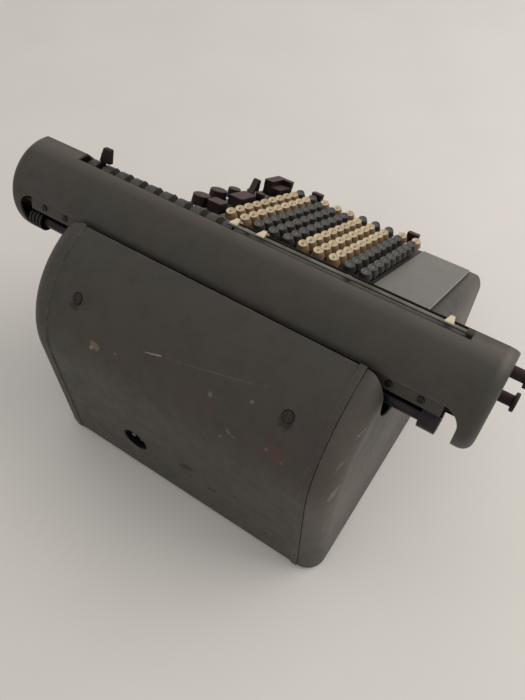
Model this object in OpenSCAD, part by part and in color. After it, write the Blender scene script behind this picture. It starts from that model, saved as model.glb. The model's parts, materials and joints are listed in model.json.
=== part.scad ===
// Desktop calculating machine with a full keyboard and a sliding register carriage.
// Millimetres. +X is the operator's right, +Y the rear, +Z up. The machine stands on z = 0.

/* [Case] */
// Width over the side walls
case_w = 302; // [292:1:316]
// Depth from the front wall to the rear wall
case_d = 352; // [346:1:364]
// Height of the straight part of the rear wall
back_h = 128.5; // [125:0.5:132]
// Radius that turns the rear wall into the top
back_r = 94.5; // [92:0.5:97]
// Radius of the upright rear corners
corner_r = 18; // [14:1:20]
// Radius of the front edges and the sloping shoulders
shoulder_r = 16; // [12:1:18]
// Thickness of the sheet metal
sheet = 2; // [1.5:0.1:2.5]
// Width of the raised edge strip on the rear cover
bead_w = 6; // [4:0.5:9]
// Height of the raised edge strip on the rear cover
bead_h = 1; // [0.5:0.1:1.5]
// Height of the rubber feet
foot_h = 4; // [3:0.5:6]
// Diameter of the rubber feet
foot_d = 24; // [18:1:30]
// Thickness of the base plate
base_t = 3; // [2:0.5:5]
// Thickness of the two inner side frames
frame_t = 3; // [2:0.5:4]
// Diameter of the tie rods between the side frames
tie_d = 10; // [8:0.5:12]
// Head diameter of the rear cover screws
screw_head_d = 9; // [7:0.5:11]
// Shank diameter of the rear cover screws
screw_d = 5; // [4:0.5:6]

/* [Keyboard] */
// Spacing of the key rows along the slope
row_pitch = 16.3; // [15.8:0.1:16.6]
// Slope of the keyboard
slope = 26.6; // [25:0.2:28]
// Height of the rear row of key tops
key_top_z = 180; // [176:1:183]
// Distance from the front wall to the rear row
key_reach = 158; // [155:1:162]
// Sideways place of the middle of the key block
key_block_x = -2.5; // [-4:0.5:0]
// Diameter of a key top
key_d = 10; // [9:0.2:11]
// Height of a key cap
key_h = 9; // [7:0.5:10]
// Travel of the keys
key_travel = 4.5; // [3:0.5:5]
// Thickness of the key stems
stem_w = 3; // [2:0.2:3.6]
// Length of the key stems below the caps
stem_len = 22; // [18:1:26]
// Gap between a key stem and its slot
stem_gap = 0.3; // [0.2:0.05:0.5]
// Thickness of the keyboard plate
plate_t = 2.5; // [2:0.1:3]
// Thickness of the flat panels beside the keys
panel_t = 2.5; // [2:0.1:3]
// Gap between a flat panel and the key column beside it
panel_gap = 1.6; // [1:0.1:2]

/* [Operation keys] */
// Height of the operation key tops above the number key tops
op_rise = 3; // [1:0.5:5]
// Height of an operation key cap
op_h = 10; // [8:0.5:10.5]
// Diameter of the round operation keys
round_key_d = 17; // [14:0.5:19]
// Diameter of the small round operation key
small_key_d = 13; // [10:0.5:14]
// Side of the square operation key
square_key = 16; // [13:0.5:17]
// Length of the bar key
bar_key_l = 30; // [24:1:34]
// Length of the large add key
add_key_l = 33; // [28:1:36]
// Width of the large add key
add_key_w = 21; // [18:0.5:22]
// Rise of the ridge on the large add key
add_ridge = 6; // [3:0.5:8]
// Diameter of the lever pin
lever_pin_d = 3; // [2.5:0.1:3.4]

/* [Carriage] */
// Outer radius of the carriage housing
drum_r = 43.7; // [43:0.1:44.5]
// Length of the carriage housing
carriage_len = 442; // [436:1:448]
// Sideways place of the middle of the carriage at rest
carriage_x = 5; // [0:0.5:7]
// Distance from the rear wall to the carriage axis
axis_back = 117; // [115:0.5:119]
// Height of the carriage axis above the straight part of the rear wall
axis_rise = 69.5; // [67.5:0.5:71.5]
// Room between the carriage and the case around it
trough_gap = 2.2; // [1.5:0.1:3]
// Length of the right end cap
right_cap_l = 54; // [50:1:55]
// Length of the left end cap
left_cap_l = 32; // [28:1:36]
// Length of the full round part of the right end cap
right_rim_l = 14; // [12:0.5:16]
// Length of the full round part of the left end cap
left_rim_l = 14; // [12:0.5:16]
// Thickness of an end wall
end_wall = 3; // [2:0.5:4]
// Radius of the outer edge of an end cap
cap_edge_r = 9; // [6:0.5:11]
// Reach of the plungers out of the left end
plunger_reach = 13; // [12:1:18]
// Diameter of a plunger stem
plunger_d = 9; // [7:0.5:10]
// Diameter of a plunger head
plunger_head_d = 15; // [12:0.5:16]
// Travel of the plungers
plunger_travel = 8; // [5:0.5:9]

/* [Rails] */
// Diameter of the carriage shaft
shaft_d = 11; // [9:0.5:12]
// Outer diameter of the shaft bushes
bush_d = 15; // [14:0.5:16]
// Diameter of the front rail shaft
front_rail_d = 10; // [8:0.5:11]
// Diametral running clearance on shafts, rails and pins
run_fit = 0.1; // [0.06:0.02:0.2]
// Outer diameter of the collars on the carriage shaft
collar_d = 19; // [17:0.5:20]
// Length of the collars on the carriage shaft
collar_l = 14; // [12:1:16]

/* [Registers] */
// Radius of the lower register dials
dial_r = 8.8; // [8:0.2:9.4]
// Width of the lower register dials
dial_w = 11; // [9:0.5:12]
// Radius of the upper register wheels
wheel_r = 11; // [10:0.2:11.6]
// Width of the upper register wheels
wheel_w = 10; // [8:0.5:10.6]
// Diameter of the register spindles
spindle_d = 5; // [4:0.5:6]
// Width of a register window
window_w = 8; // [6:0.5:9]
// Height of a register window
window_h = 10; // [8:0.5:11]
// Diameter of the decimal marker rail
marker_rail_d = 3; // [2.4:0.2:3.4]
// Width of a decimal marker
marker_w = 8; // [6:0.5:9]

/* [Drive] */
// Diameter of the motor housing
motor_d = 88; // [80:1:92]
// Length of the motor housing
motor_l = 112; // [100:1:116]
// Diameter of the motor spindle
motor_spindle_d = 10; // [8:0.5:12]
// Diameter of the drive shaft
drive_d = 12; // [10:0.5:14]
// Radius of the stepped drums on the drive shaft
step_r = 20; // [16:0.5:22]
// Tooth size of the gears, as pitch diameter per tooth
tooth = 2; // [1.9:0.05:2.1]

/* [Power inlet] */
// Diameter of the hole for the inlet
inlet_d = 27; // [24:0.5:30]
// Diameter of the recess in the inlet
recess_d = 23; // [20:0.5:24]
// Depth of the recess in the inlet
recess_depth = 15; // [12:1:18]
// Diameter of the contact pins
pin_d = 4.8; // [4:0.1:5]
// Spacing of the contact pins
pin_pitch = 10; // [9:0.2:11]

/* [Hidden] */

enamel = "#45433d";
panel_grey = "#7b7873";
steel = "#8b8d8f";
cream = "#d9c7a0";
slate = "#4c514e";
maroon = "#4a2b2e";
black = "#1d1c1c";

columns = 10;
rows = 9;
eps = 0.01;
far = 600;

// Case planes and the seam between the front case and the side casings.
half_w = case_w / 2;
front_y = -case_d / 2;
rear_y = case_d / 2;
back_y = rear_y - back_r;
core_x = half_w - corner_r;
core_y = rear_y - corner_r;
shoulder_x = half_w - shoulder_r;
case_z = foot_h;
base_top = case_z + base_t;
seam_y = back_y - (back_r - corner_r) - 3;
seam_gap = 0.2;
fit_gap = 0.05;
frame_back = 26;
frame_out = half_w - frame_back;
frame_in = frame_out - frame_t;

// Keyboard plane: heights are measured square to the slope from the number key tops.
key_y = front_y + key_reach;
key_float = 1;
plate_top = -(key_h + key_travel + key_float);
case_top = plate_top - plate_t;
panel_top = plate_top + panel_t;
plate_rear = 15;
plate_front = 167;
panel_front = plate_front - 2;
panel_rear = plate_rear - 4;
lip_w = 17;
lip_front = 163;
clear_row = rows * row_pitch;
stem_l = 5;
slot_end = 4;

// Nineteen steps of the key columns, dials and carriage make the width of the case.
column_pitch = case_w / 19;

function key_x(i) = key_block_x + ((columns - 1) / 2 - i) * column_pitch;
function slope_z(y, h) = key_top_z + (y - key_y) * tan(slope) + h / cos(slope);

// Rounded front edge: centre line of the edge radius.
edge_y = front_y + shoulder_r;
edge_z = slope_z(edge_y, case_top - shoulder_r);
seam_top_z = slope_z(seam_y, case_top);

// Operation keys, as places across the machine and down the slope.
op_inner_gap = 17;
op_outer_gap = 34.5;
panel_over = 7.5;
op_inner_x = key_x(0) + op_inner_gap;
op_outer_x = key_x(0) + op_outer_gap;
key_foot_r = key_d * 0.61;
cap_h = key_h * 0.78;
stem_root = key_h / 2;
right_panel_x = key_x(0) + key_foot_r + panel_gap;
left_panel_x = key_x(columns - 1) - key_foot_r - panel_gap;
op_stem = 6;
// The right side of the front case falls away beyond the operation keys.
panel_end = op_outer_x + panel_over;
fall_x = panel_end - 1;
fall_drop = 17.5;
fall_a = atan2(fall_drop, shoulder_x - fall_x);
frame_fall = 8;
corner_steps = 9;
right_seam_z = slope_z(seam_y, case_top - fall_drop - 3);
op_stem_len = 26;
small_square = 9;
front_key_w = 13;
front_key_l = 9;
front_key_v = clear_row + 14;

// Carriage section: a round housing with a sloping front that carries the windows.
axis_y = rear_y - axis_back;
axis_z = back_h + axis_rise;
trough_r = drum_r + trough_gap;
lip_extra = 3.2;
drum_in = drum_r - sheet;
carriage_right = carriage_x + carriage_len / 2;
carriage_left = carriage_x - carriage_len / 2;
cover_right = carriage_right - right_cap_l;
cover_left = carriage_left + left_cap_l;
face_top_a = 105;
face_low_a = 186;
skirt_rear_a = 25;
skirt_corner_r = 14;
flange_low_a = 9;
flange_high_a = 32;
skirt_front_z = axis_z - 8;
face_tilt = (face_top_a + face_low_a) / 2;
face_in = drum_r * cos((face_low_a - face_top_a) / 2);
skirt_rear_z = axis_z + drum_r * sin(skirt_rear_a);

// Carriage shaft, the front rail, and the hangers that run on it.
shaft_y = axis_y + 34.5;
shaft_z = axis_z - 9.5;
front_rail_y = axis_y - 3;
front_rail_z = axis_z - 26;
ear_r = bush_d / 2 + 2;
front_ear_r = 8;
bush_flange = 2;
shaft_room = collar_d / 2 + 2.5;
hanger_x = 38;
hanger_w = 14;
deck_t = 3;
deck_z = axis_z + 6;
deck_rear = 35;
flange_screw_a = 17.5;
flange_screw_in = 43;
flange_screw_step = 24;
flange_screw_places = [
    carriage_right - flange_screw_in,
    carriage_right - flange_screw_in - flange_screw_step,
    carriage_left + flange_screw_in + flange_screw_step,
    carriage_left + flange_screw_in
];
flange_inset = 13;
flange_screw_d = 5.5;
deck_front = -8;
right_collar_x = carriage_right - 34;
left_collar_x = carriage_left + 40;

// Registers: distances up the sloping face from its middle, and behind it.
dial_clear = 0.5;
dial_back = sheet + dial_clear + dial_r;
dial_u = -4.4;
wheel_back = 9.4;
wheel_u = 17.2;
wheel_room = 1.2;
dial_inset = 77.4;
dial_end_room = 24;
wheel_inset = 61.5;
dial_count = floor((carriage_right - dial_inset - cover_left - dial_end_room) / column_pitch) + 1;
wheel_count = 10;
wheel_cut_left = -8;
bracket_t = 3;
bracket_r = 4.5;

// Decimal marker rail along the crest of the carriage.
marker_rail_y = -6.5;
marker_rail_z = 42.5;
marker_rail_right = wheel_x(wheel_count - 1) - 3.4;
marker_places = [marker_rail_right - 5, marker_rail_right - 30, cover_left + 18];
tab_places = [marker_rail_right - 19, (marker_rail_right + cover_left) / 2 - 7];
tab_w = 4;
tab_t = 2.4;
tab_l = 12;
stop_l = 5;
channel_z = 37.6;
channel_t = 1.4;
channel_front = -10.7;
channel_rear = 5;

// Drive train between the motor and the drive shaft.
drive_y = axis_y - 29;
drive_rise = 89;
drive_z = base_top + drive_rise;
motor_behind = 65;
spindle_stub = 10;
pinion_teeth = 15;
wheel_teeth = 60;
gear_gap = 0.4;
gear_distance = tooth * (pinion_teeth + wheel_teeth) / 2 + gear_gap;
motor_y = drive_y + motor_behind;
motor_z = drive_z - sqrt(gear_distance * gear_distance - pow(motor_y - drive_y, 2));
motor_right = 12;
gear_w = 4.4;
gear_x = key_x(2) - column_pitch / 2 - gear_w / 2;
step_w = 10;

// Power inlet and rear screws.
inlet_x = 46;
inlet_z = 54;
screw_x = core_x - 33;
screw_a = 43;
tie_back = 14;
flange_w = 3;
seat_depth = 0.3;
spot = 1;

// The part frame has its origin under the middle of the whole machine.
shift_x = -(carriage_right + carriage_left - plunger_reach) / 2;
shift_y = -bead_h / 2;

$fn = 64;

module placed() translate([shift_x, shift_y, 0]) children();

// Extrudes an outline drawn in Y and Z from x0 to x1.
module along_x(x0, x1) translate([x0, 0, 0]) rotate([90, 0, 90]) linear_extrude(x1 - x0) children();

// Frame of the keyboard: X across, Y up the slope, Z square to it, zero at the rear key tops.
module on_slope() translate([0, key_y, key_top_z]) rotate([slope, 0, 0]) children();

// Frame of the carriage's sloping face: Y up the face from its middle, Z outwards.
module on_face()
    translate([0, axis_y, axis_z]) rotate([face_tilt - 90, 0, 0]) translate([0, 0, face_in]) children();

// A round rod along X with its middle at the given place in Y and Z.
module rod(x0, x1, y, z, d) translate([x0, y, z]) rotate([0, 90, 0]) cylinder(d = d, h = x1 - x0);

module trough(extra = 0) translate([axis_y, axis_z]) circle(trough_r + extra);

// Case

module back_outline(r, low) {
    translate([back_y, low]) square([r, back_h - low]);
    translate([back_y, back_h]) intersection() {
        circle(r);
        square(r);
    }
}

module plan_outline(inset) {
    rear_in = corner_r - inset;
    front_in = shoulder_r - inset;
    union() {
        translate([-core_x, front_y + shoulder_r]) square([2 * core_x, case_d - shoulder_r - inset]);
        translate([-half_w + inset, front_y + shoulder_r])
            square([case_w - 2 * inset, case_d - shoulder_r - corner_r]);
        translate([-shoulder_x, front_y + inset]) square([2 * shoulder_x, case_d / 2]);
        for (side = [-1, 1]) {
            translate([side * core_x, core_y]) circle(rear_in);
            translate([side * shoulder_x, edge_y]) circle(front_in);
        }
    }
}

module base_plate() color(steel)
    translate([0, 0, case_z]) linear_extrude(base_t) plan_outline(sheet + fit_gap);

module rubber_feet() color(black)
    for (x = [-1, 1], y = [-1, 1])
        translate([x * (half_w - 34), y * (rear_y - 36), 0]) cylinder(d = foot_d, h = foot_h);

module frame_outline(fall) {
    lip = case_top - sheet;
    frame_front = front_y + 26;
    frame_r = back_r - 6;
    difference() {
        union() {
            back_outline(frame_r, base_top);
            polygon(concat(
                [
                    [frame_front, base_top],
                    [back_y + eps, base_top],
                    [back_y + eps, slope_z(seam_y, lip)],
                    [seam_y + seam_gap, slope_z(seam_y, lip)]
                ],
                fall > 0 ? [[seam_y + seam_gap, slope_z(seam_y, lip - fall)]] : [],
                [[frame_front, slope_z(frame_front, lip - fall)]]
            ));
        }
        trough();
    }
    translate([shaft_y, shaft_z]) circle(ear_r);
    translate([shaft_y, shaft_z - ear_r]) square([ear_r + 6, 2 * ear_r]);
    translate([front_rail_y, front_rail_z]) circle(front_ear_r);
    translate([front_rail_y - front_ear_r, axis_z - trough_r - 6])
        square([2 * front_ear_r, front_rail_z - axis_z + trough_r + 6]);
}

module side_frame(side) color(steel)
    difference() {
        translate([side * (frame_in + frame_out) / 2, 0, 0])
            along_x(-frame_t / 2, frame_t / 2) frame_outline(side > 0 ? frame_fall : 0);
        rod(-far, far, shaft_y, shaft_z, bush_d + 2 * fit_gap);
        rod(-far, far, front_rail_y, front_rail_z, front_rail_d + run_fit);
        rod(-far, far, drive_y, drive_z, drive_d + run_fit);
    }

screw_tie_r = back_r - tie_back;
rear_tie = 24;
front_tie = 40;
front_tie_rise = 20;
middle_tie = 100;
middle_tie_rise = 40;
tie_places = [
    [back_y + screw_tie_r * cos(screw_a), back_h + screw_tie_r * sin(screw_a)],
    [rear_y - rear_tie, base_top + rear_tie],
    [front_y + front_tie, base_top + front_tie_rise],
    [front_y + middle_tie, base_top + middle_tie_rise]
];

module tie_rods() color(steel)
    for (p = tie_places) rod(-frame_in, frame_in, p[0], p[1], tie_d);

// Turns its children so that Z points out of the rear cover at the screw places.
module at_screws()
    for (side = [-1, 1])
        translate([side * screw_x, back_y, back_h]) rotate([screw_a - 90, 0, 0]) children();

module rear_cover() color(enamel)
    difference() {
        union() {
            along_x(-core_x + seam_gap, core_x - seam_gap) difference() {
                back_outline(back_r, case_z);
                back_outline(back_r - sheet, case_z - 1);
                trough(lip_extra);
            }
            for (x = [-core_x + seam_gap, core_x - seam_gap - bead_w])
                along_x(x, x + bead_w) difference() {
                    back_outline(back_r + bead_h, case_z);
                    back_outline(back_r - sheet / 2, case_z - 1);
                    trough(lip_extra);
                }
        }
        translate([inlet_x, rear_y + 5, inlet_z]) rotate([90, 0, 0]) cylinder(d = inlet_d, h = 20);
        at_screws() {
            translate([0, 0, back_r - 10]) cylinder(d = screw_d + 2 * run_fit, h = 20);
            translate([0, 0, back_r - seat_depth]) cylinder(d = screw_head_d + spot, h = 10);
        }
    }

slot_w = 1.8;

module rear_cover_screws() color(steel)
    at_screws() difference() {
        union() {
            translate([0, 0, back_r - tie_back + tie_d / 2 + 0.2])
                cylinder(d = screw_d, h = tie_back - tie_d / 2 - 0.2);
            translate([0, 0, back_r - seat_depth]) cylinder(d = screw_head_d, h = 1.4);
        }
        translate([-slot_w / 2, -screw_head_d, back_r + 0.4]) cube([slot_w, 2 * screw_head_d, 2]);
    }

module side_outline(low, top)
    difference() {
        intersection() {
            union() {
                translate([seam_y, low]) square([core_y - seam_y, back_h - low]);
                translate([back_y, back_h]) circle(back_r - corner_r);
                translate([seam_y, low]) square([axis_y - seam_y, top - low]);
            }
            translate([seam_y, low]) square(far);
        }
        trough(lip_extra);
        translate([shaft_y, shaft_z]) circle(shaft_room);
    }

module casing_solid(r, low, top) {
    along_x(core_x - 1, core_x + r) side_outline(low, top);
    translate([core_x, core_y, low]) cylinder(r = r, h = back_h - low);
    difference() {
        translate([core_x, back_y, back_h]) rotate([90, 0, 90])
            rotate_extrude(angle = 90) translate([back_r - corner_r, 0]) circle(r);
        along_x(core_x - corner_r - 1, half_w + 1) trough(lip_extra);
    }
}

module casing(top) color(enamel)
    difference() {
        casing_solid(corner_r, case_z, top);
        casing_solid(corner_r - sheet, case_z - 1, top);
        translate([core_x - far, -far / 2, -1]) cube(far);
    }

module right_side_casing() casing(right_seam_z);
module left_side_casing() mirror([1, 0, 0]) casing(seam_top_z);

module wedge_outline(r, low, rear) {
    core = case_top - shoulder_r;
    polygon([
        [edge_y - r, low],
        [rear, low],
        [rear, slope_z(rear, core + r)],
        [edge_y - r * sin(slope), edge_z + r * cos(slope)],
        [edge_y, edge_z],
        [edge_y - r, edge_z]
    ]);
    translate([edge_y, edge_z]) circle(r);
}

module front_plan(r, rear) {
    translate([-shoulder_x, edge_y - r]) square([2 * shoulder_x, rear - edge_y + r]);
    translate([-shoulder_x - r, edge_y]) square([2 * (shoulder_x + r), rear - edge_y]);
    for (side = [-1, 1]) translate([side * shoulder_x, edge_y]) circle(r);
}

// Points of a rounded corner, turned from one angle to another.
function round_corner(x, z, r, from, to) =
    [for (k = [0:corner_steps]) let (a = from + (to - from) * k / corner_steps)
        [x + r * cos(a), z + r * sin(a)]];

// Section square to the slope: a flat top with a round shoulder on the left and a falling one on the right.
module shoulder_outline(r) {
    core = case_top - shoulder_r;
    polygon(concat(
        [[-shoulder_x - r, -far]],
        round_corner(-shoulder_x, core, r, 180, 90),
        round_corner(fall_x, core, r, 90, 90 - fall_a),
        round_corner(shoulder_x, core - fall_drop, r, 90 - fall_a, 0),
        [[shoulder_x + r, -far]]
    ));
}

// The front case grown by r from its core: side profile, plan and slope section cut one another.
module wedge_solid(r, low, rear)
    intersection() {
        along_x(-half_w, half_w) wedge_outline(r, low, rear);
        translate([0, 0, low]) linear_extrude(far) front_plan(r, rear);
        on_slope() translate([0, far / 2, 0]) rotate([90, 0, 0]) linear_extrude(far) shoulder_outline(r);
    }

module front_case() color(enamel)
    difference() {
        wedge_solid(shoulder_r, case_z, seam_y);
        wedge_solid(shoulder_r - sheet, case_z - 1, seam_y + 1);
        on_slope() translate([-shoulder_x + lip_w, -lip_front, case_top - sheet - 4])
            cube([fall_x + shoulder_x - lip_w, far, far]);
    }

// Keyboard

module key_slots(h)
    for (i = [0:columns - 1])
        translate([key_x(i) - stem_w / 2 - stem_gap, -clear_row - slot_end, h - 1])
            cube([stem_w + 2 * stem_gap, clear_row + 2 * slot_end, far]);

module stem_hole(x, v, w, l)
    translate([x - w / 2 - stem_gap, -v - l / 2 - stem_gap, case_top - 1])
        cube([w + 2 * stem_gap, l + 2 * stem_gap, far]);

op_round_rear = [op_outer_x, 0];
op_round_front = [op_outer_x + 2.5, 33];
op_small_round = [op_outer_x - 1.5, 57];
op_square = [op_inner_x, 2];
op_bar = [op_inner_x, 48];
op_small_square = [op_inner_x - 4, 77];
op_lever = [op_outer_x, 99];
op_add = [op_inner_x + 2, 127];
op_places = [op_round_rear, op_round_front, op_small_round, op_square, op_bar, op_small_square, op_add];
front_key_places = [[key_x(1), front_key_v], [(key_x(8) + key_x(9)) / 2, front_key_v]];

module stem_holes() {
    for (p = op_places) stem_hole(p[0], p[1], op_stem, op_stem);
    for (p = front_key_places) stem_hole(p[0], p[1], stem_l, stem_w);
}

module keyboard_plate() color(black)
    on_slope() difference() {
        translate([-shoulder_x, -plate_front, case_top])
            cube([panel_end + shoulder_x, plate_front + plate_rear, plate_t]);
        key_slots(case_top);
        stem_holes();
    }

module left_panel() color(panel_grey)
    on_slope() translate([-shoulder_x, -panel_front, plate_top])
        cube([left_panel_x + shoulder_x, panel_front + panel_rear, panel_t]);

lever_h = panel_top + 4.5;
lever_w = 7;
ear_t = 2;

module right_panel() color(panel_grey)
    on_slope() {
        difference() {
            translate([right_panel_x, -panel_front, plate_top])
                cube([panel_end - right_panel_x, panel_front + panel_rear, panel_t]);
            stem_holes();
        }
        for (side = [-1, 1])
            translate([op_lever[0] + side * (lever_w + ear_t + 0.8) / 2 - ear_t / 2, -op_lever[1], 0]) {
                translate([0, -3, panel_top]) cube([ear_t, 6, lever_h - panel_top]);
                rod(0, ear_t, 0, lever_h, 6);
            }
        pin_reach = lever_w / 2 + 0.5;
        rod(op_lever[0] - pin_reach, op_lever[0] + pin_reach, -op_lever[1], lever_h, lever_pin_d);
    }

// Upright flared cap with a level top, on a stem that stands square to the keyboard.
module number_key(x, v) translate([x, -v, 0]) {
    rotate([-slope, 0, 0]) translate([0, 0, -cap_h]) cylinder(r1 = key_foot_r, d2 = key_d * 0.96, h = cap_h);
    translate([-stem_w / 2, -stem_l / 2, -key_h - stem_len]) cube([stem_w, stem_l, stem_len + stem_root]);
}

dark_columns = [2, 3, 4, 8, 9];
function is_dark(i) = len(search(i, dark_columns)) > 0;

module key_column(i) color(is_dark(i) ? slate : cream)
    on_slope() for (j = [0:rows - 1]) number_key(key_x(i), j * row_pitch);

module clear_keys(over_dark)
    on_slope() for (i = [0:columns - 1]) if (is_dark(i) == over_dark) number_key(key_x(i), clear_row);

module dark_clear_keys() color(slate) clear_keys(false);
module cream_clear_keys() color(cream) clear_keys(true);

module op_stem_at(bottom)
    translate([-op_stem / 2, -op_stem / 2, bottom - op_stem_len + eps])
        cube([op_stem, op_stem, op_stem_len]);

// A cap with rounded upright corners, its top at the height of the operation keys.
module block_cap(w, l, h, r) {
    linear_extrude(h) {
        translate([-w / 2 + r, -l / 2]) square([w - 2 * r, l]);
        translate([-w / 2, -l / 2 + r]) square([w, l - 2 * r]);
        for (x = [-1, 1], y = [-1, 1]) translate([x * (w / 2 - r), y * (l / 2 - r)]) circle(r);
    }
}

module round_op_key(p, d) color(maroon)
    on_slope() translate([p[0], -p[1], 0]) {
        translate([0, 0, op_rise - op_h]) cylinder(d1 = d * 1.08, d2 = d, h = op_h);
        op_stem_at(op_rise - op_h);
    }

module block_op_key(p, w, l) color(maroon)
    on_slope() translate([p[0], -p[1], 0]) {
        translate([0, 0, op_rise - op_h]) block_cap(w, l, op_h, 3);
        op_stem_at(op_rise - op_h);
    }

module round_key_rear() round_op_key(op_round_rear, round_key_d);
module round_key_front() round_op_key(op_round_front, round_key_d);
module small_round_key() round_op_key(op_small_round, small_key_d);
module square_op_key() block_op_key(op_square, square_key, square_key);
module bar_key() block_op_key(op_bar, square_key, bar_key_l);
module small_square_key() block_op_key(op_small_square, small_square, small_square);

module add_key() color(maroon)
    on_slope() translate([op_add[0], -op_add[1], 0]) {
        translate([0, 0, op_rise - op_h]) block_cap(add_key_w, add_key_l, op_h, 3);
        translate([add_key_w / 4, 0, op_rise - 1]) block_cap(add_key_w / 2, add_key_l, add_ridge + 1, 2);
        translate([0, -add_key_l * 3 / 8, op_rise - 1])
            block_cap(add_key_w, add_key_l / 4, add_ridge + 1, 2);
        op_stem_at(op_rise - op_h);
    }

module setting_lever() color(maroon)
    on_slope() translate([op_lever[0], -op_lever[1], lever_h]) difference() {
        along_x(-lever_w / 2, lever_w / 2) union() {
            circle(3.6);
            polygon([[-8, 1], [4.5, 1], [-2.5, 14.5], [-5.5, 15], [-8, 13]]);
        }
        rod(-lever_w, lever_w, 0, 0, lever_pin_d + run_fit);
    }

module front_key(p) color(maroon)
    on_slope() translate([p[0], -p[1], 0]) {
        translate([0, 0, -key_h]) block_cap(front_key_w, front_key_l, key_h + op_rise, 2);
        translate([-stem_l / 2, -stem_w / 2, -key_h - stem_len]) cube([stem_l, stem_w, stem_len + 1]);
    }

module front_key_right() front_key(front_key_places[0]);
module front_key_left() front_key(front_key_places[1]);

// Rails

module carriage_shaft() color(slate)
    rod(left_collar_x - collar_l, carriage_right - end_wall, shaft_y, shaft_z, shaft_d);

module shaft_bushes() color("peru")
    for (side = [0, 1]) mirror([side, 0, 0]) difference() {
        union() {
            rod(frame_in, frame_out, shaft_y, shaft_z, bush_d);
            rod(frame_out, frame_out + bush_flange, shaft_y, shaft_z, 2 * ear_r);
        }
        rod(0, far, shaft_y, shaft_z, shaft_d + run_fit);
    }

module front_rail() color(steel)
    rod(-frame_out, frame_out, front_rail_y, front_rail_z, front_rail_d);

collar_slit = 1.2;
collar_ear_w = 8;
collar_ear_h = 2;

module clamp_collar() color(steel)
    difference() {
        union() {
            rod(left_collar_x - collar_l, left_collar_x, shaft_y, shaft_z, collar_d);
            translate([left_collar_x - collar_l, shaft_y - collar_ear_w / 2, shaft_z])
                cube([collar_l, collar_ear_w, collar_d / 2 + collar_ear_h]);
        }
        rod(-far, 0, shaft_y, shaft_z, shaft_d + 2 * fit_gap);
        translate([left_collar_x - collar_l - 1, shaft_y - collar_slit / 2, shaft_z])
            cube([collar_l + 2, collar_slit, collar_d]);
    }

rib_count = 4;

module ribbed_collar() color(slate)
    difference() {
        union() {
            rib = collar_l / (2 * rib_count - 1);
            rod(right_collar_x, right_collar_x + collar_l, shaft_y, shaft_z, collar_d - 3);
            for (k = [0:rib_count - 1]) {
                rib_x = right_collar_x + 2 * k * rib;
                rod(rib_x, rib_x + rib, shaft_y, shaft_z, collar_d);
            }
        }
        rod(0, far, shaft_y, shaft_z, shaft_d + 2 * fit_gap);
    }

// Carriage

module face_cut(depth)
    translate([axis_y, axis_z]) rotate(face_tilt) translate([face_in - depth, -far / 2]) square([far, far]);

module drum_outline(r, depth)
    difference() {
        translate([axis_y, axis_z]) circle(r);
        face_cut(depth);
    }

module skirt_cut() {
    translate([axis_y, axis_z - far]) square([far, far + skirt_rear_z - axis_z]);
    translate([axis_y - far, axis_z - far]) square([far + eps, far + skirt_front_z - axis_z]);
}

// Sheet of the carriage between its end caps, round at the rear and flat on the sloping front.
module cover_outline()
    difference() {
        drum_outline(drum_r, 0);
        drum_outline(drum_in, sheet);
        skirt_cut();
    }

module carriage_face() color(enamel)
    difference() {
        along_x(cover_left, cover_right) difference() {
            cover_outline();
            crest_cut();
        }
        on_face() {
            low = wheel_u - sqrt(wheel_r * wheel_r - pow(wheel_back - sheet, 2)) - wheel_room;
            left = wheel_x(wheel_count - 1) + wheel_cut_left;
            translate([left, low, -drum_r / 2]) cube([cover_right - 2 - left, drum_r, drum_r]);
            for (k = [0:dial_count - 1])
                translate([dial_x(k) - window_w / 2, dial_u - window_h / 2, -sheet - 1])
                    cube([window_w, window_h, sheet + 2]);
        }
    }

// Everything behind the upper edge of the sloping face.
module crest_cut()
    translate([axis_y + drum_r * cos(face_top_a), axis_z]) square(2 * drum_r);

function dial_x(k) = carriage_right - dial_inset - k * column_pitch;
function wheel_x(k) = carriage_right - wheel_inset - k * column_pitch;

// Round section of the housing along its axis, with rounded edges at both ends.
module housing_outline(r, left, right, edge) {
    translate([0, left]) square([r - edge, right - left]);
    translate([0, left + edge]) square([r, right - left - 2 * edge]);
    for (x = [left + edge, right - edge]) translate([r - edge, x]) circle(edge);
}

// Opening under the housing between its full round rims, with round upper corners.
module under_cut(z, y0, y1) {
    left = carriage_left + left_rim_l;
    right = carriage_right - right_rim_l;
    translate([0, y1, 0]) rotate([90, 0, 0]) linear_extrude(y1 - y0) {
        translate([left, axis_z - far]) square([right - left, far + z - axis_z - skirt_corner_r]);
        translate([left + skirt_corner_r, z - skirt_corner_r - 1])
            square([right - left - 2 * skirt_corner_r, skirt_corner_r + 1]);
        for (x = [left + skirt_corner_r, right - skirt_corner_r])
            translate([x, z - skirt_corner_r]) circle(skirt_corner_r);
    }
}

// Half the breadth of the sloping face at a distance from the rounded end of the housing.
function end_reach(t) =
    let (round_in = sqrt(pow(cap_edge_r, 2) - pow(cap_edge_r - t, 2)),
        r = drum_r - cap_edge_r + round_in - sheet / 2)
    sqrt(r * r - face_in * face_in);
end_start = end_wall / 2;
function end_step(k) = end_start + (cap_edge_r - end_start) * k / corner_steps;

// Flat of the sloping face on an end of the housing, which follows the rounded edge of that end.
module end_face(end, inner, side)
    intersection() {
        along_x(min(end, inner), max(end, inner)) difference() {
            face_cut(sheet);
            face_cut(0);
            translate([axis_y - far, axis_z - far]) square([far, far + skirt_front_z - axis_z]);
        }
        on_face() translate([0, 0, -2 * sheet]) linear_extrude(4 * sheet) polygon(concat(
            [[inner, end_reach(cap_edge_r)]],
            [for (k = [corner_steps:-1:0]) [end - side * end_step(k), end_reach(end_step(k))]],
            [for (k = [0:corner_steps]) [end - side * end_step(k), -end_reach(end_step(k))]],
            [[inner, -end_reach(cap_edge_r)]]
        ));
    }

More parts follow.
